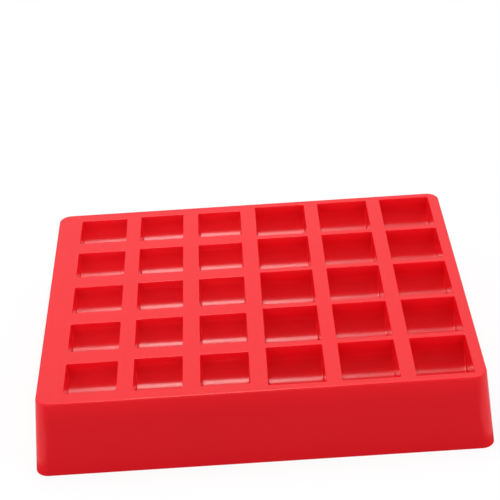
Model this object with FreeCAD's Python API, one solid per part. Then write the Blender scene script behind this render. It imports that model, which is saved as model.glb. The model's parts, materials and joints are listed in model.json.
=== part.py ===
import FreeCAD, Part
import math
import os

# Coin organizer tray: one injection moulded shell, open underneath.
# Thirty wells hang from a flat top plate, and a drafted skirt stands round them.
# Millimetres. X runs along the rows of wells, the user's side is -Y, and Z is up.
# The origin is the centre of the base, on the surface that the tray stands on.

# Outer shell
tray_height = 38.8
skirt_draft = 5.4            # degrees, the skirt widens towards its base
skirt_wall = 2.0
top_plate = 2.2
corner_radius = 6.4          # outside of the skirt's upright corners
top_edge_radius = 0.8

# Plain borders between the edge of the top plate and the nearest wells
left_border = 12.9
right_border = 5.7
back_border = 4.2
front_border = 4.6

# Wells in three sizes of coin. Lengths run from front to back, and each rib is the flat
# strip to the right of a column.
rows = 5
row_pitch = 35.2
medium_columns = 1
medium_width = 24.9
medium_length = 24.4
medium_depth = 11.8
medium_rib = 7.9
small_columns = 2
small_width = 23.3
small_length = 26.2
small_depth = 12.4
small_rib = 8.5
large_columns = 3
large_width = 27.15
large_length = 31.6
large_depth = 15.6
large_rib = 7.6

# Shape of one well
scoop_radius = 10.5          # front and back of the floor, so a finger slides a coin out
floor_edge_radius = 1.2      # left and right of the floor
rim_radius = 0.35
well_draft = 0.5             # degrees, the wells narrow towards their floors
cup_wall = 1.9
cup_floor = 1.8

# How far a cutting solid reaches past the face that it opens
overshoot = 3.0

# From left to right: columns of one size, with the well's width, length and depth, and the rib
column_groups = [
    (medium_columns, medium_width, medium_length, medium_depth, medium_rib),
    (small_columns, small_width, small_length, small_depth, small_rib),
    (large_columns, large_width, large_length, large_depth, large_rib),
]
columns_and_ribs = sum(columns * (width + rib) for columns, width, _, _, rib in column_groups)
top_length = left_border + columns_and_ribs - large_rib + right_border
top_width = back_border + (rows - 1) * row_pitch + large_length + front_border


def vector(x, y, z):
    return FreeCAD.Vector(x, y, z)


def drafted_block(low, high, inset):
    """The solid inside the skirt's outline, drawn in by inset, between two heights."""
    slope = math.tan(math.radians(skirt_draft))
    wall_across = inset / math.cos(math.radians(skirt_draft))

    def half_sizes(z):
        grow = (tray_height - z) * slope - wall_across
        return top_length / 2 + grow, top_width / 2 + grow

    low_x, low_y = half_sizes(low)
    high_x, high_y = half_sizes(high)
    block = Part.makeWedge(-low_x, low, -low_y, -high_y, -high_x, low_x, high, low_y, high_y, high_x)
    block.rotate(vector(0, 0, 0), vector(1, 0, 0), 90)
    corners = [e for e in block.Edges if abs(e.Vertexes[0].Z - e.Vertexes[1].Z) > (high - low) / 2]
    return block.makeFillet(corner_radius - inset, corners)


def corner_arc(corner, towards_start, towards_end, radius):
    """Start, middle and end of an arc that rounds a corner between two directions."""
    turn = towards_start.getAngle(towards_end)
    reach = radius / math.tan(turn / 2)
    bisector = (towards_start + towards_end).normalize()
    middle = corner + bisector * (radius / math.sin(turn / 2) - radius)
    return corner + towards_start * reach, middle, corner + towards_end * reach


def well_profile(span, depth, draft, floor_radius, rim):
    """Half of a well's outline: from its rim, down one wall and to the middle of the floor.

    The first coordinate runs across the well, the second is the height above the top plate.
    With no rim radius the wall runs straight up past the plate.
    """
    lean = math.tan(math.radians(draft))
    wall_up = vector(lean, 1, 0).normalize()
    inward, outward = vector(-1, 0, 0), vector(1, 0, 0)
    rim_corner = vector(span / 2, 0, 0)
    floor_corner = vector(span / 2 - depth * lean, -depth, 0)
    wall_end, floor_middle, floor_start = corner_arc(floor_corner, wall_up, inward, floor_radius)
    if rim > 0:
        rim_out, rim_middle, rim_end = corner_arc(rim_corner, outward, wall_up * -1, rim)
        pieces = [(rim_out + vector(0, overshoot, 0), rim_out), (rim_out, rim_middle, rim_end)]
    else:
        rim_end = rim_corner
        pieces = [(rim_corner + vector(0, overshoot, 0), rim_corner)]
    pieces += [(rim_end, wall_end), (wall_end, floor_middle, floor_start)]
    return pieces


def profile_prism(half, across, thickness):
    """Mirror a half outline, close it and draw it out into a prism about the Z axis."""
    along_x = across == "x"

    def place(point, side):
        flat = side * point.x
        if along_x:
            return vector(flat, -thickness / 2, point.y)
        return vector(-thickness / 2, flat, point.y)

    edges = []
    for side in (1, -1):
        for piece in half:
            points = [place(point, side) for point in piece]
            if len(points) == 3:
                edges.append(Part.Arc(*points).toShape())
            else:
                edges.append(Part.makeLine(*points))
    floor_ends = [place(half[-1][-1], side) for side in (1, -1)]
    top_ends = [place(half[0][0], side) for side in (1, -1)]
    edges.append(Part.makeLine(*floor_ends))
    edges.append(Part.makeLine(*top_ends))
    outline = Part.Wire(Part.__sortEdges__(edges))
    direction = vector(0, thickness, 0) if along_x else vector(thickness, 0, 0)
    return Part.Face(outline).extrude(direction)


def scooped_solid(width, length, depth, draft, scoop, floor_edge, rim):
    """The space of one well: where its front view and its side view cross."""
    front_view = well_profile(width, depth, draft, floor_edge, rim)
    side_view = well_profile(length, depth, draft, scoop, rim)
    reach = 2 * (overshoot + width + length)
    front_prism = profile_prism(front_view, "x", reach)
    side_prism = profile_prism(side_view, "y", reach)
    return front_prism.common(side_prism)


def well_space(width, length, depth):
    return scooped_solid(width, length, depth, well_draft, scoop_radius, floor_edge_radius, rim_radius)


def cup_outside(width, length, depth):
    """The outside of the cup that holds a well, one wall larger than the well all round."""
    around = 2 * cup_wall
    return scooped_solid(width + around, length + around, depth + cup_floor, 0,
                         scoop_radius + cup_wall, floor_edge_radius + cup_wall, 0)


def well_places():
    """Centre of each well in plan, with its width, length and depth."""
    back_row_y = top_width / 2 - back_border - large_length / 2
    left_edge = left_border - top_length / 2
    places = []
    for columns, width, length, depth, rib in column_groups:
        for _ in range(columns):
            for row in range(rows):
                places.append((left_edge + width / 2, back_row_y - row * row_pitch, width, length, depth))
            left_edge += width + rib
    return places


def set_in_plate(make_solid):
    """One solid for every well, made once for each size and placed under the top plate."""
    made = {}
    placed = []
    for x, y, width, length, depth in well_places():
        size = (width, length, depth)
        if size not in made:
            made[size] = make_solid(*size)
        copy = made[size].copy()
        copy.translate(vector(x, y, tray_height))
        placed.append(copy)
    return placed


def edges_at(shape, z):
    """Edges of a solid that lie in the horizontal plane at height z."""
    return [e for e in shape.Edges if all(abs(v.Z - z) < 1e-6 for v in e.Vertexes)]


def make_tray():
    body = drafted_block(0, tray_height, 0)
    body = body.makeFillet(top_edge_radius, edges_at(body, tray_height))
    hollow = drafted_block(0, tray_height - top_plate, skirt_wall)
    hollow = hollow.cut(set_in_plate(cup_outside))
    tray = body.cut(hollow)
    return tray.cut(set_in_plate(well_space))


tray = make_tray().removeSplitter()
box = tray.optimalBoundingBox()
print("solids", len(tray.Solids), "valid", tray.isValid(), "faces", len(tray.Faces))
print("size %.2f x %.2f x %.2f mm" % (box.XLength, box.YLength, box.ZLength))
print("volume %.1f cm3" % (tray.Volume / 1000))

os.makedirs("parts", exist_ok=True)
tray.exportStep("parts/coin_tray.step")
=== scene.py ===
# %% [markdown]
# A moulded coin organizer tray
#
# The real object is one injection moulding in glossy red plastic. A flat top holds thirty wells
# for coins in three sizes: one column of middle-sized wells on the left, then two columns of small
# ones and three of large ones. A skirt that leans outwards carries the top, and the tray is open
# underneath.
#
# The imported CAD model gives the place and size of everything. This lesson builds the same tray
# again as a fine mesh, with round corners, a finish and studio light.

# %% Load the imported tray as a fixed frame
import json
import math

import bmesh
import bpy
from mathutils import Matrix, Vector


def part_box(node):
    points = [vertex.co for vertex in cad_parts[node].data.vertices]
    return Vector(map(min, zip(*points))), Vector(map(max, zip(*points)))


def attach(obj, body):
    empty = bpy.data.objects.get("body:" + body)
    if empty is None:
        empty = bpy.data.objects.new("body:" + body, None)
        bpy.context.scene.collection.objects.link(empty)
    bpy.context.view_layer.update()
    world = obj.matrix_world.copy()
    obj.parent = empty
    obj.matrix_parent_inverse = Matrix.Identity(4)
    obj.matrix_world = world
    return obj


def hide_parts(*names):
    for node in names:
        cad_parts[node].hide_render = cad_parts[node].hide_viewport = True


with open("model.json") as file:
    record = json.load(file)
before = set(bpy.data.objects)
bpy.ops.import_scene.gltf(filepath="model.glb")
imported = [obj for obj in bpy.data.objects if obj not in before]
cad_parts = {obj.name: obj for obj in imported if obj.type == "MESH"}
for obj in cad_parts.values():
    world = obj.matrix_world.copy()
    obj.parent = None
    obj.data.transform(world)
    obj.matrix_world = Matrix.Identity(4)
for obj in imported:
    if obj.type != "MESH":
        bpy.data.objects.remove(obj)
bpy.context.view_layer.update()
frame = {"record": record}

# %% [markdown]
# Sizes
#
# What the frame knows is read from the frame: the outline of the foot, the height, and where each
# well stands, because the record lists every well as an opening with its box. What only the
# moulder knows, such as wall thickness and the radii inside a well, is named here once.

# %% Sizes from the frame
mm = 0.001
foot_half_x, foot_half_y, tray_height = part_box("coin_tray")[1]
openings = {opening["name"]: opening["box_m"] for opening in frame["record"]["physics"]["openings"]}


def well_centre(size, row, column):
    """The middle of a well at the height of the top, from its box in the record."""
    low, high = openings["%s_well_%d_%d" % (size, row, column)]
    return Vector(((low[0] + high[0]) / 2, (low[1] + high[1]) / 2, tray_height))


def grid_of(size):
    """One size's grid of wells: its middle, columns, rows, and the pitch of each."""
    places = [name.split("_") for name in openings if name.startswith(size + "_well_")]
    rows = max(int(place[2]) for place in places)
    columns = max(int(place[3]) for place in places)
    first, last = well_centre(size, 1, 1), well_centre(size, rows, columns)
    return {"middle": (first + last) / 2, "columns": columns, "rows": rows,
            "pitch": (last.x - first.x) / max(columns - 1, 1), "row_pitch": (first.y - last.y) / (rows - 1)}


sizes = ("medium", "small", "large")
grids = {size: grid_of(size) for size in sizes}
for size, grid in grids.items():
    print(size, grid["rows"], "x", grid["columns"], "pitches mm",
          round(grid["pitch"] / mm, 2), round(grid["row_pitch"] / mm, 2))

# %% Sizes of the moulding
skirt_draft = math.radians(5.4)
skirt_wall = 2.0 * mm
top_plate = 2.2 * mm
corner_radius = 6.4 * mm
top_edge_radius = 0.8 * mm
foot_edge_radius = 0.3 * mm

wells = {
    "medium": {"width": 24.9 * mm, "length": 24.4 * mm, "depth": 11.8 * mm},
    "small": {"width": 23.3 * mm, "length": 26.2 * mm, "depth": 12.4 * mm},
    "large": {"width": 27.15 * mm, "length": 31.6 * mm, "depth": 15.6 * mm},
}
scoop_radius = 10.5 * mm
floor_edge_radius = 1.2 * mm
rim_radius = 0.35 * mm
well_corner_radius = 0.6 * mm
well_draft = math.radians(0.5)
cup_wall = 1.9 * mm
cup_floor = 1.8 * mm

# %% [markdown]
# Camera
#
# The photograph was taken from in front, looking down about 30 degrees, with the camera rolled
# a little so that level lines rise to the right. The place and the turns come from fitting a
# camera to the rims of the wells. The lens is long, so the far wells are hardly smaller.

# %% Camera
image_width_px = 500
focal_length_px = 1600
camera_place = Vector((-2.75, -699.1, 470.0)) * mm
camera_pitch = math.radians(30.265)
camera_yaw = math.radians(-0.142)
camera_roll = math.radians(-3.584)

camera_data = bpy.data.cameras.new("studio camera")
camera_data.lens = focal_length_px / image_width_px * camera_data.sensor_width
camera = bpy.data.objects.new("studio camera", camera_data)
bpy.context.scene.collection.objects.link(camera)
camera.matrix_world = (Matrix.Translation(camera_place)
                       @ Matrix.Rotation(camera_yaw, 4, "Z")
                       @ Matrix.Rotation(math.radians(90) - camera_pitch, 4, "X")
                       @ Matrix.Rotation(camera_roll, 4, "Z"))
bpy.context.scene.camera = camera
print("lens mm", round(camera_data.lens, 1))

# %% [markdown]
# Loops and skins
#
# Every surface of this tray is a stack of rounded rectangles: the skirt seen from above, and each
# well at every depth. So two helpers are enough. One gives the points of a rounded rectangle, the
# other joins such loops with quads. Loops run anticlockwise seen from above. Listed upwards they
# give a surface that faces outwards, and listed downwards one that faces in, like a well.

# %% Helpers for loops and skins
def rounded_loop(half_x, half_y, radius, height, steps, centre=(0, 0)):
    """Points of a rectangle whose corners are rounded in a number of steps."""
    points = []
    for quarter, (side_x, side_y) in enumerate(((1, 1), (-1, 1), (-1, -1), (1, -1))):
        for step in range(steps + 1):
            turn = math.radians(90) * (quarter + step / max(steps, 1))
            x = side_x * (half_x - radius) + radius * math.cos(turn)
            y = side_y * (half_y - radius) + radius * math.sin(turn)
            points.append((centre[0] + x, centre[1] + y, height))
    return points


def skin(shape, loops, close_first=False, close_last=False):
    """Join each loop of points to the next with quads, and cap the ends that are asked for."""
    rings = [[shape.verts.new(point) for point in loop] for loop in loops]
    for ring, following in zip(rings, rings[1:]):
        for i in range(len(ring)):
            k = (i + 1) % len(ring)
            shape.faces.new((ring[i], ring[k], following[k], following[i]))
    if close_first:
        shape.faces.new(list(reversed(rings[0])))
    if close_last:
        shape.faces.new(rings[-1])
    return rings


def object_from(shape, name):
    """A scene object that holds the mesh built so far."""
    mesh = bpy.data.meshes.new(name)
    shape.to_mesh(mesh)
    shape.free()
    made = bpy.data.objects.new(name, mesh)
    bpy.context.scene.collection.objects.link(made)
    print(name, len(mesh.vertices), "vertices", len(mesh.polygons), "faces")
    return made


# %% [markdown]
# The wells
#
# A well is where two outlines cross. Seen from the front it has upright sides and small edges at
# the floor. Seen from the side it has a large scoop at the front and the back, so that a finger
# can slide a coin up and out. Both outlines are worked out as half a span at a given depth, so one
# loop per depth holds the whole form. More loops are spent where an outline bends: at the rim,
# along the scoop and at the floor's edge.

# %% Outline of a well
rim_steps, scoop_steps, floor_edge_steps = 6, 20, 8


def flare_at(depth_here, rim):
    """How much the rounded rim widens a well at a depth below the top."""
    if depth_here >= rim:
        return 0.0
    return rim - math.sqrt(rim ** 2 - (rim - depth_here) ** 2)


def half_span(span, depth, depth_here, floor_radius, draft, rim):
    """Half of a well's span at a depth below the top."""
    above_floor = depth - depth_here
    tuck = 0.0
    if above_floor < floor_radius:
        tuck = floor_radius - math.sqrt(max(0.0, floor_radius ** 2 - (floor_radius - above_floor) ** 2))
    return span / 2 - depth_here * math.tan(draft) - tuck + flare_at(depth_here, rim)


def quarter_turns(steps):
    return [math.radians(90) * step / steps for step in range(steps + 1)]


def well_depths(depth, scoop, floor_edge, rim):
    """Depths at which a well gets a loop: along the rim, the scoop and the floor's edge."""
    depths = {0.0}
    if rim:
        depths |= {rim - rim * math.cos(turn) for turn in quarter_turns(rim_steps)}
    depths |= {depth - scoop + scoop * math.sin(turn) for turn in quarter_turns(scoop_steps)}
    depths |= {depth - floor_edge + floor_edge * math.sin(turn) for turn in quarter_turns(floor_edge_steps)}
    return sorted(depths)


def without_neighbours(depths, least=0.01 * mm):
    """The same depths with none closer to the one before it than a hundredth of a millimetre."""
    kept = [depths[0]]
    for depth in depths[1:-1]:
        if depth - kept[-1] > least and depths[-1] - depth > least:
            kept.append(depth)
    return kept + [depths[-1]]


# %% Skin of a well and outside of its cup
well_corner_steps = 4


def pocket(name, width, length, depth):
    """The inside of one well, from the flat top down, about its own centre."""
    shape = bmesh.new()
    loops = []
    for here in without_neighbours(well_depths(depth, scoop_radius, floor_edge_radius, rim_radius)):
        half_x = half_span(width, depth, here, floor_edge_radius, well_draft, rim_radius)
        half_y = half_span(length, depth, here, scoop_radius, well_draft, rim_radius)
        radius = well_corner_radius + flare_at(here, rim_radius)
        loops.append(rounded_loop(half_x, half_y, radius, -here, well_corner_steps))
    skin(shape, loops, close_last=True)
    return object_from(shape, name)


def cup(name, width, length, depth):
    """The solid that hangs under the top around one well, a wall larger than the well all round."""
    shape = bmesh.new()
    outer_scoop = scoop_radius + cup_wall
    outer_edge = floor_edge_radius + cup_wall
    lowest = depth + cup_floor
    loops = []
    for here in without_neighbours(well_depths(lowest, outer_scoop, outer_edge, 0.0)):
        half_x = half_span(width + 2 * cup_wall, lowest, here, outer_edge, 0.0, 0.0)
        half_y = half_span(length + 2 * cup_wall, lowest, here, outer_scoop, 0.0, 0.0)
        loops.append(rounded_loop(half_x, half_y, 0.0, -here, 0))
    skin(shape, list(reversed(loops)), close_first=True, close_last=True)
    return object_from(shape, name)


pockets = {size: pocket(size + " pocket", **wells[size]) for size in sizes}
cups = {size: cup(size + " cup", **wells[size]) for size in sizes}

# %% [markdown]
# The shell
#
# The skirt leans outwards by its draft, so that the moulding leaves its mould. One list of loops
# runs from the inside of the foot, round the foot, up the skirt and over the top edge. The flat
# top between the wells is then filled with triangles, with a hole left for each well. The holes
# use the very loops that the wells start with, so that the two can be welded later.

# %% Skirt, foot and top
corner_steps, foot_edge_steps, top_edge_steps = 12, 4, 8
wall_across = skirt_wall / math.cos(skirt_draft)


def skirt_loop(height, inset):
    """The skirt's outline at a height, drawn in by an inset."""
    spread = -height * math.tan(skirt_draft) - inset
    return rounded_loop(foot_half_x + spread, foot_half_y + spread, corner_radius - inset, height,
                        corner_steps)


def skirt_loops():
    """Loops from the inside of the foot, up the outside, to the edge of the flat top."""
    loops = [skirt_loop(0.0, wall_across)]
    for turn in quarter_turns(foot_edge_steps):
        loops.append(skirt_loop(foot_edge_radius * (1 - math.cos(turn)),
                                foot_edge_radius * (1 - math.sin(turn))))
    for step in range(top_edge_steps + 1):
        turn = skirt_draft + (math.radians(90) - skirt_draft) * step / top_edge_steps
        drop = top_edge_radius * (1 - math.sin(turn))
        centre_in = top_edge_radius * (1 - math.sin(skirt_draft)) / math.cos(skirt_draft)
        inset = centre_in - top_edge_radius * math.cos(turn) + drop * math.tan(skirt_draft)
        loops.append(skirt_loop(tray_height - drop, inset))
    return loops


def well_openings():
    """The loop at the top of every well."""
    for size, grid in grids.items():
        half_x = wells[size]["width"] / 2 + rim_radius
        half_y = wells[size]["length"] / 2 + rim_radius
        for row in range(grid["rows"]):
            for column in range(grid["columns"]):
                x = grid["middle"].x + (column - (grid["columns"] - 1) / 2) * grid["pitch"]
                y = grid["middle"].y - (row - (grid["rows"] - 1) / 2) * grid["row_pitch"]
                yield rounded_loop(half_x, half_y, well_corner_radius + rim_radius, tray_height,
                                   well_corner_steps, (x, y))


shell_shape = bmesh.new()
top_rings = [skin(shell_shape, skirt_loops())[-1]]
top_rings += [[shell_shape.verts.new(point) for point in loop] for loop in well_openings()]
top_edges = []
for ring in top_rings:
    for i in range(len(ring)):
        pair = (ring[i - 1], ring[i])
        top_edges.append(shell_shape.edges.get(pair) or shell_shape.edges.new(pair))
bmesh.ops.triangle_fill(shell_shape, use_beauty=True, edges=top_edges, normal=(0, 0, 1))
shell = object_from(shell_shape, "shell")

# %% The hollow inside the skirt
hollow_shape = bmesh.new()
skin(hollow_shape, [skirt_loop(0.0, wall_across), skirt_loop(tray_height - top_plate, wall_across)],
     close_first=True, close_last=True)
hollow = object_from(hollow_shape, "hollow")

# %% [markdown]
# Nodes written as Python
#
# A node tree is easier to read as a few lines of Python than as a list of links. Wire wraps one
# output socket, and its operators add Math nodes. Maker has one method that adds any other node:
# it takes the node's type, its settings, and the values or wires of its sockets. The same two
# classes serve the geometry tree of the tray and the shader trees of the finish.

# %% Helpers for node trees
class Wire:
    """One output socket. An operator on it adds a Math node to the same tree."""

    def __init__(self, maker, socket):
        self.maker = maker
        self.socket = socket

    def out(self, name):
        """Another output of the same node."""
        return Wire(self.maker, self.socket.node.outputs[name])

    def math(self, operation, left, right):
        return self.maker.node("ShaderNodeMath", {"operation": operation}, {0: left, 1: right})

    def __add__(self, other):
        return self.math("ADD", self, other)

    def __radd__(self, other):
        return self.math("ADD", other, self)

    def __sub__(self, other):
        return self.math("SUBTRACT", self, other)

    def __rsub__(self, other):
        return self.math("SUBTRACT", other, self)

    def __mul__(self, other):
        return self.math("MULTIPLY", self, other)

    def __rmul__(self, other):
        return self.math("MULTIPLY", other, self)

    def __lt__(self, other):
        return self.math("LESS_THAN", self, other)

    def __gt__(self, other):
        return self.math("GREATER_THAN", self, other)

    def at_most(self, other):
        return self.math("MINIMUM", self, other)


class Maker:
    """Adds nodes to one tree."""

    def __init__(self, tree):
        self.tree = tree

    def node(self, kind, settings=None, sockets=None, output=0):
        """Add a node: first its settings, then the value or wire of each socket."""
        made = self.tree.nodes.new(kind)
        for name, value in (settings or {}).items():
            setattr(made, name, value)
        for name, value in (sockets or {}).items():
            for item in value if isinstance(value, list) else [value]:
                if isinstance(item, Wire):
                    self.tree.links.new(item.socket, made.inputs[name])
                else:
                    made.inputs[name].default_value = item
        return Wire(self, made.outputs[output]) if made.outputs else made


# %% [markdown]
# The red plastic
#
# The tray is moulded in one pigmented, glossy plastic. Such a finish is nearly even, but not
# dead: the pigment is a shade deeper in places, the polish of the mould varies and keeps faint
# traces of its strokes, and the surface waves a little where thick and thin walls cooled apart. All of
# it reads Object coordinates in metres, so the pattern stays put on the tray.

# %% Red plastic
def noise(maker, place, size, detail=2.0, stretch=None):
    """Soft noise from 0 to 1 whose features are about the given size in metres."""
    if stretch:
        turn, scale = stretch
        place = maker.node("ShaderNodeMapping", {}, {"Vector": place, "Rotation": turn, "Scale": scale})
    return maker.node("ShaderNodeTexNoise", {}, {"Vector": place, "Scale": 1 / size, "Detail": detail,
                                                 "Roughness": 0.5})


def colour_mix(maker, factor, first, second):
    return maker.node("ShaderNodeMix", {"data_type": "RGBA"}, {0: factor, 6: first, 7: second}, output=2)


def new_material(name):
    material = bpy.data.materials.new(name)
    material.use_nodes = True
    material.node_tree.nodes.clear()
    return material, Maker(material.node_tree)


red_plastic, maker = new_material("glossy red plastic")
place = maker.node("ShaderNodeTexCoord").out("Object")
clouds = noise(maker, place, 45 * mm)
polish = noise(maker, place, 9 * mm, detail=3.0)
hairs = noise(maker, place, 0.6 * mm, stretch=((0, 0, 0.5), (1.0, 0.05, 1.0)))
grain = noise(maker, place, 0.7 * mm)
waves = noise(maker, place, 24 * mm, detail=1.0)

deep_red = (0.775, 0.0056, 0.0125, 1.0)
bright_red = (0.835, 0.0068, 0.0145, 1.0)
smoothest, polish_share, hairs_share = 0.21, 0.05, 0.02
wave_height, grain_height = 0.02 * mm, 0.0006 * mm

base_colour = colour_mix(maker, clouds, deep_red, bright_red)
roughness = smoothest + polish_share * polish + hairs_share * hairs
rippled = maker.node("ShaderNodeBump", {}, {"Strength": 1.0, "Distance": wave_height, "Height": waves})
surface = maker.node("ShaderNodeBump", {}, {"Strength": 1.0, "Distance": grain_height,
                                            "Height": grain, "Normal": rippled})
body = maker.node("ShaderNodeBsdfPrincipled", {}, {"Base Color": base_colour, "Roughness": roughness,
                                                   "IOR": 1.5, "Normal": surface})
maker.node("ShaderNodeOutputMaterial", {}, {"Surface": body})
print("red plastic", len(maker.tree.nodes), "nodes")

# %% [markdown]
# Setting the wells out
#
# The wells repeat on three grids, so Geometry Nodes set them out. The tree takes the shell, and
# named inputs for the pieces, counts and pitches. It copies each pocket to its grid and welds it
# into its hole. For the underside it copies the cups, and cuts them out of the hollow with a
# Boolean, because the cups of the large wells share their webs. The skin of what is left of the
# hollow, turned inside out, is the underside. Edges that bend sharply stay crisp, the rest is
# smooth. A grid of instances costs almost nothing until it is realized at the end.

# %% Inputs of the tray's geometry tree
tray_tree = bpy.data.node_groups.new("coin tray", "GeometryNodeTree")
tray_tree.interface.new_socket("Tray", in_out="OUTPUT", socket_type="NodeSocketGeometry")
tray_tree.interface.new_socket("Shell", in_out="INPUT", socket_type="NodeSocketGeometry")
tray_inputs = {
    "Hollow": ("NodeSocketObject", hollow),
    "Weld Distance": ("NodeSocketFloat", 0.015 * mm),
    "Crisp Angle": ("NodeSocketFloat", math.radians(35)),
    "Plastic": ("NodeSocketMaterial", red_plastic),
}
for size, grid in grids.items():
    tray_inputs[size + " pocket"] = ("NodeSocketObject", pockets[size])
    tray_inputs[size + " cup"] = ("NodeSocketObject", cups[size])
    tray_inputs[size + " middle"] = ("NodeSocketVector", grid["middle"])
    tray_inputs[size + " columns"] = ("NodeSocketInt", grid["columns"])
    tray_inputs[size + " rows"] = ("NodeSocketInt", grid["rows"])
    tray_inputs[size + " pitch"] = ("NodeSocketFloat", grid["pitch"])
    tray_inputs[size + " row pitch"] = ("NodeSocketFloat", grid["row_pitch"])
identifiers = {}
for name, (kind, _) in tray_inputs.items():
    identifiers[name] = tray_tree.interface.new_socket(name, in_out="INPUT", socket_type=kind).identifier

# %% The tray's geometry tree
maker = Maker(tray_tree)
given = maker.node("NodeGroupInput")


def object_geometry(name):
    return maker.node("GeometryNodeObjectInfo", {}, {"Object": given.out(name)}).out("Geometry")


def set_out(piece, size):
    """Copies of a piece on the grid of one size of well."""
    columns, rows = given.out(size + " columns"), given.out(size + " rows")
    grid = maker.node("GeometryNodeMeshGrid", {}, {
        "Size X": given.out(size + " pitch") * (columns - 1), "Vertices X": columns,
        "Size Y": given.out(size + " row pitch") * (rows - 1), "Vertices Y": rows})
    points = maker.node("GeometryNodeTransform", {}, {
        "Geometry": grid, "Translation": given.out(size + " middle")})
    copies = maker.node("GeometryNodeInstanceOnPoints", {}, {
        "Points": points, "Instance": object_geometry("%s %s" % (size, piece))})
    return maker.node("GeometryNodeRealizeInstances", {}, {"Geometry": copies})


all_cups = maker.node("GeometryNodeJoinGeometry", {}, {"Geometry": [set_out("cup", size) for size in sizes]})
space = maker.node("GeometryNodeMeshBoolean", {"operation": "DIFFERENCE", "solver": "EXACT"}, {
    "Mesh 1": object_geometry("Hollow"), "Mesh 2": all_cups, "Self Intersection": True})
height = maker.node("ShaderNodeSeparateXYZ", {}, {"Vector": maker.node("GeometryNodeInputPosition")}).out("Z")
open_space = maker.node("GeometryNodeDeleteGeometry", {"domain": "FACE"}, {
    "Geometry": space, "Selection": height < given.out("Weld Distance")})
underside = maker.node("GeometryNodeFlipFaces", {}, {"Mesh": open_space})
joined = maker.node("GeometryNodeJoinGeometry", {}, {
    "Geometry": [given.out("Shell"), underside] + [set_out("pocket", size) for size in sizes]})
welded = maker.node("GeometryNodeMergeByDistance", {}, {
    "Geometry": joined, "Distance": given.out("Weld Distance")})
smooth = maker.node("GeometryNodeSetShadeSmooth", {"domain": "FACE"}, {"Geometry": welded})
bend = maker.node("GeometryNodeInputMeshEdgeAngle")
crisp = maker.node("GeometryNodeSetShadeSmooth", {"domain": "EDGE"}, {
    "Geometry": smooth, "Selection": bend > given.out("Crisp Angle"), "Shade Smooth": False})
real = maker.node("GeometryNodeRealizeInstances", {}, {"Geometry": crisp})
finished = maker.node("GeometryNodeSetMaterial", {}, {"Geometry": real, "Material": given.out("Plastic")})
maker.node("NodeGroupOutput", {}, {"Tray": finished})
print("tray tree", len(tray_tree.nodes), "nodes")

# %% [markdown]
# From the tree to a plain mesh
#
# The modifier gets its inputs, the result is turned into a plain mesh, and the helper objects go.
# A flat face keeps a flat look only if its corners take their normals from it and not from the
# narrow strips of a rounding beside it. The Weighted Normal modifier does that: large faces win.

# %% The tray as one mesh
def evaluated_mesh(source, name):
    """The object's mesh with its modifiers applied."""
    seen = source.evaluated_get(bpy.context.evaluated_depsgraph_get())
    mesh = bpy.data.meshes.new_from_object(seen)
    mesh.name = name
    return mesh


tray_modifier = shell.modifiers.new("coin tray", "NODES")
tray_modifier.node_group = tray_tree
for name, (_, value) in tray_inputs.items():
    tray_modifier[identifiers[name]] = value
even_normals = shell.modifiers.new("even normals", "WEIGHTED_NORMAL")
even_normals.keep_sharp = True
tray_shell = bpy.data.objects.new("tray_shell", evaluated_mesh(shell, "tray_shell"))
bpy.context.scene.collection.objects.link(tray_shell)
for helper in (shell, hollow, *pockets.values(), *cups.values()):
    bpy.data.objects.remove(helper)

check = bmesh.new()
check.from_mesh(tray_shell.data)
print("tray_shell", len(check.faces), "faces, open edges",
      sum(1 for edge in check.edges if not edge.is_manifold))
print("plastic cm3", round(check.calc_volume(signed=True) * 1e6, 1))
check.free()

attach(tray_shell, "root")
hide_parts("coin_tray")

# %% [markdown]
# Floor and backdrop
#
# The tray stands on a pale studio table that runs out to plain white. Near the tray the camera
# sees a white table with the tray's own soft shadow, and further out pure white. To the light the
# same table is a grey one, so that it doesn't throw a glare up the skirt. In the gloss it stays
# grey near the tray, and turns white further out like the table that the camera sees.

# %% Helpers for the floor and the room
def fade(maker, value, start, end):
    """A soft step from 0 to 1 while a value goes from start to end."""
    return maker.node("ShaderNodeMapRange", {"interpolation_type": "SMOOTHSTEP"}, {
        "Value": value, "From Min": start, "From Max": end})


def kinds_of_ray(maker):
    """Whether the ray comes from the camera, from gloss, or through something clear."""
    rays = maker.node("ShaderNodeLightPath")
    return [rays.out("Is " + kind + " Ray") for kind in ("Camera", "Glossy", "Transmission")]


# %% Floor
floor_half = 3.0
gloss_white_start, gloss_white_end = 0.20, 0.42
shade_start, shade_end = 0.12, 0.24
shade_kept = 0.12
table_white = (0.97, 0.97, 0.97, 1.0)
table_grey = (0.16, 0.16, 0.16, 1.0)

floor_shape = bmesh.new()
floor_shape.faces.new([floor_shape.verts.new((x * floor_half, y * floor_half, 0.0))
                       for x, y in ((-1, -1), (1, -1), (1, 1), (-1, 1))])
floor = object_from(floor_shape, "studio floor")
floor_finish, maker = new_material("studio table")
place = maker.node("ShaderNodeTexCoord").out("Object")
distance = maker.node("ShaderNodeVectorMath", {"operation": "LENGTH"}, {0: place}).out("Value")
far = fade(maker, distance, gloss_white_start, gloss_white_end)
unshaded = fade(maker, distance, shade_start, shade_end)
camera_ray, glossy_ray, clear_ray = kinds_of_ray(maker)
white = maker.node("ShaderNodeEmission", {}, {"Color": (1, 1, 1, 1), "Strength": 1.0})
lit_white = maker.node("ShaderNodeBsdfDiffuse", {}, {"Color": table_white})
lit_grey = maker.node("ShaderNodeBsdfDiffuse", {}, {"Color": table_grey})
pale = maker.node("ShaderNodeMixShader", {}, {0: 1 - shade_kept * (1 - unshaded), 1: lit_white, 2: white})
seen = (camera_ray + clear_ray + glossy_ray * far).at_most(1.0)
shown = maker.node("ShaderNodeMixShader", {}, {0: seen, 1: lit_grey, 2: pale})
maker.node("ShaderNodeOutputMaterial", {}, {"Surface": shown})
floor.data.materials.append(floor_finish)
print("studio table", len(maker.tree.nodes), "nodes")

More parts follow.
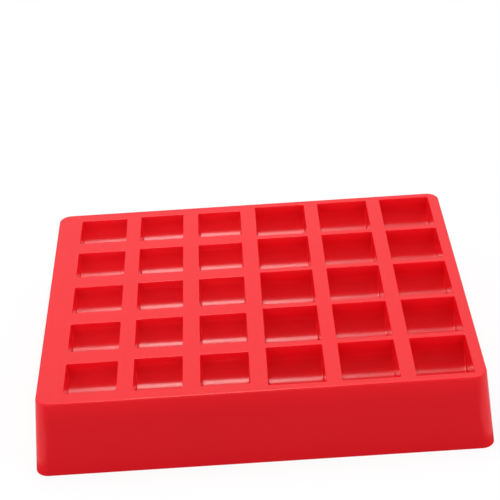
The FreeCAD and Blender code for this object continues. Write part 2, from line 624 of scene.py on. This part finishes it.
# %% [markdown]
# Room
#
# The camera looks at plain white all round. In the gloss the room is nearly dark, except for a
# pale backdrop behind the tray, which the flat top mirrors towards its far edge. Dark surroundings
# keep the red deep: a bright room would lay a grey veil over every wall of the wells. For the same
# reason the room itself gives only a little light, and the lamps do the rest.

# %% World
room_light = 0.23
room_dark = 0.02
backdrop_white = 0.77
behind_start, behind_end = 0.15, 0.50
above_start, above_end = 0.18, 0.40

world = bpy.data.worlds.new("studio")
bpy.context.scene.world = world
world.use_nodes = True
world.node_tree.nodes.clear()
maker = Maker(world.node_tree)
camera_ray, glossy_ray, clear_ray = kinds_of_ray(maker)
direction = maker.node("ShaderNodeTexCoord").out("Generated")
towards = maker.node("ShaderNodeSeparateXYZ", {}, {"Vector": direction})
behind = fade(maker, towards.out("Y"), behind_start, behind_end)
above = fade(maker, towards.out("Z"), above_start, above_end)
mirrored = room_dark + (backdrop_white - room_dark) * behind * above
plain = (camera_ray + clear_ray).at_most(1.0)
strength = plain + glossy_ray * mirrored + (1 - (plain + glossy_ray).at_most(1.0)) * room_light
backdrop = maker.node("ShaderNodeBackground", {}, {"Color": (1, 1, 1, 1), "Strength": strength})
maker.node("ShaderNodeOutputWorld", {}, {"Surface": backdrop})
print("studio", len(maker.tree.nodes), "nodes")

# %% [markdown]
# Softboxes that the scoops mirror
#
# The scoops are small curved mirrors, so each of them shows the lamp above it as one pale band, low
# down and near the front of its well. In the photograph these bands are bright on the left and
# dull on the right. So four softboxes hang over the tray, weaker towards the right, and each
# serves a column of wells or two. How far back a softbox hangs and how high sets where the band
# stands in each row.

# %% Softboxes over the tray
def lamp(name, place, aim, size_x, size_y, watts, mirrored):
    """A rectangular area lamp that faces a point, and is or isn't seen mirrored in the gloss."""
    data = bpy.data.lights.new(name, "AREA")
    data.shape = "RECTANGLE"
    data.size, data.size_y = size_x, size_y
    data.energy = watts
    made = bpy.data.objects.new(name, data)
    bpy.context.scene.collection.objects.link(made)
    made.location = place
    made.rotation_euler = (Vector(place) - Vector(aim)).to_track_quat("Z", "Y").to_euler()
    made.visible_camera = False
    made.visible_glossy = mirrored


def softbox(name, place, size_x, size_y, watts):
    """A lamp that faces straight down and is mirrored in the gloss."""
    lamp(name, place, (place[0], place[1], 0.0), size_x, size_y, watts, mirrored=True)


softbox("left softbox", (-0.205, 0.145, 1.27), 0.075, 0.48, 0.83)
softbox("overhead softbox", (-0.060, 0.104, 0.64), 0.114, 0.23, 0.82)
softbox("right softbox", (0.028, 0.130, 0.47), 0.056, 0.21, 0.235)
softbox("far right softbox", (0.112, 0.135, 0.47), 0.112, 0.22, 0.155)

# %% [markdown]
# Cards at the sides
#
# The rounded corners of the skirt mirror the table beside the tray. A weak glowing card lies there
# on each side, just over the table, and gives each corner a pale stripe that fades towards the
# front.

# %% Glowing cards
card_size = 0.16
for name, side, watts in (("left card", -1, 0.031), ("right card", 1, 0.033)):
    card_x, card_y, card_height = side * 0.194, -0.055, 0.002
    lamp(name, (card_x, card_y, card_height), (card_x, card_y, 1.0), card_size, card_size, watts,
         mirrored=True)

# %% [markdown]
# Panels all round
#
# These panels only give light. The gloss doesn't show them, so they add no stripes of their own.
# The high ones light the top and the walls of the wells, more from the left than from the right.
# The low ones light the skirt.

# %% Panels
middle = (0.0, 0.0, 0.0)
low_middle = (0.0, 0.0, 0.02)
for name, place, aim, size_x, size_y, watts in (
        ("left front panel", (-0.9, -0.8, 0.75), middle, 0.7, 0.7, 4.6),
        ("right front panel", (0.9, -0.8, 0.75), middle, 0.7, 0.7, 4.7),
        ("left panel", (-1.0, 0.0, 0.84), middle, 0.8, 1.2, 2.8),
        ("right panel", (1.0, 0.0, 0.84), middle, 0.8, 1.2, 1.6),
        ("back panel", (0.0, 1.0, 0.84), middle, 1.2, 0.8, 2.1),
        ("low front panel", (0.0, -1.2, 0.10), low_middle, 1.4, 0.3, 3.7),
        ("low back panel", (0.0, 1.2, 0.10), low_middle, 1.4, 0.3, 4.0),
        ("low left panel", (-1.0, -0.2, 0.08), low_middle, 0.3, 0.8, 5.0),
        ("low right panel", (1.0, -0.2, 0.08), low_middle, 0.3, 0.8, 5.0)):
    lamp(name, place, aim, size_x, size_y, watts, mirrored=False)

# %% [markdown]
# Glow under the front edge
#
# Under the front edge the real plastic is a little lighter, probably because some light from the
# top passes through the corner. Scattering inside the material would also darken the thin walls
# of the wells, so a very weak strip close before that edge gives this glow instead. It fades
# within about a centimetre, and it isn't mirrored either.

# %% Glow
glow_height = 0.0375
lamp("front edge glow", (0.0, -0.0965, glow_height), (0.0, 0.0, glow_height), 0.205, 0.002, 0.0009,
     mirrored=False)
print("lamps", [light.name for light in bpy.data.lights])

# %% Colour management
bpy.context.scene.view_settings.view_transform = "Standard"
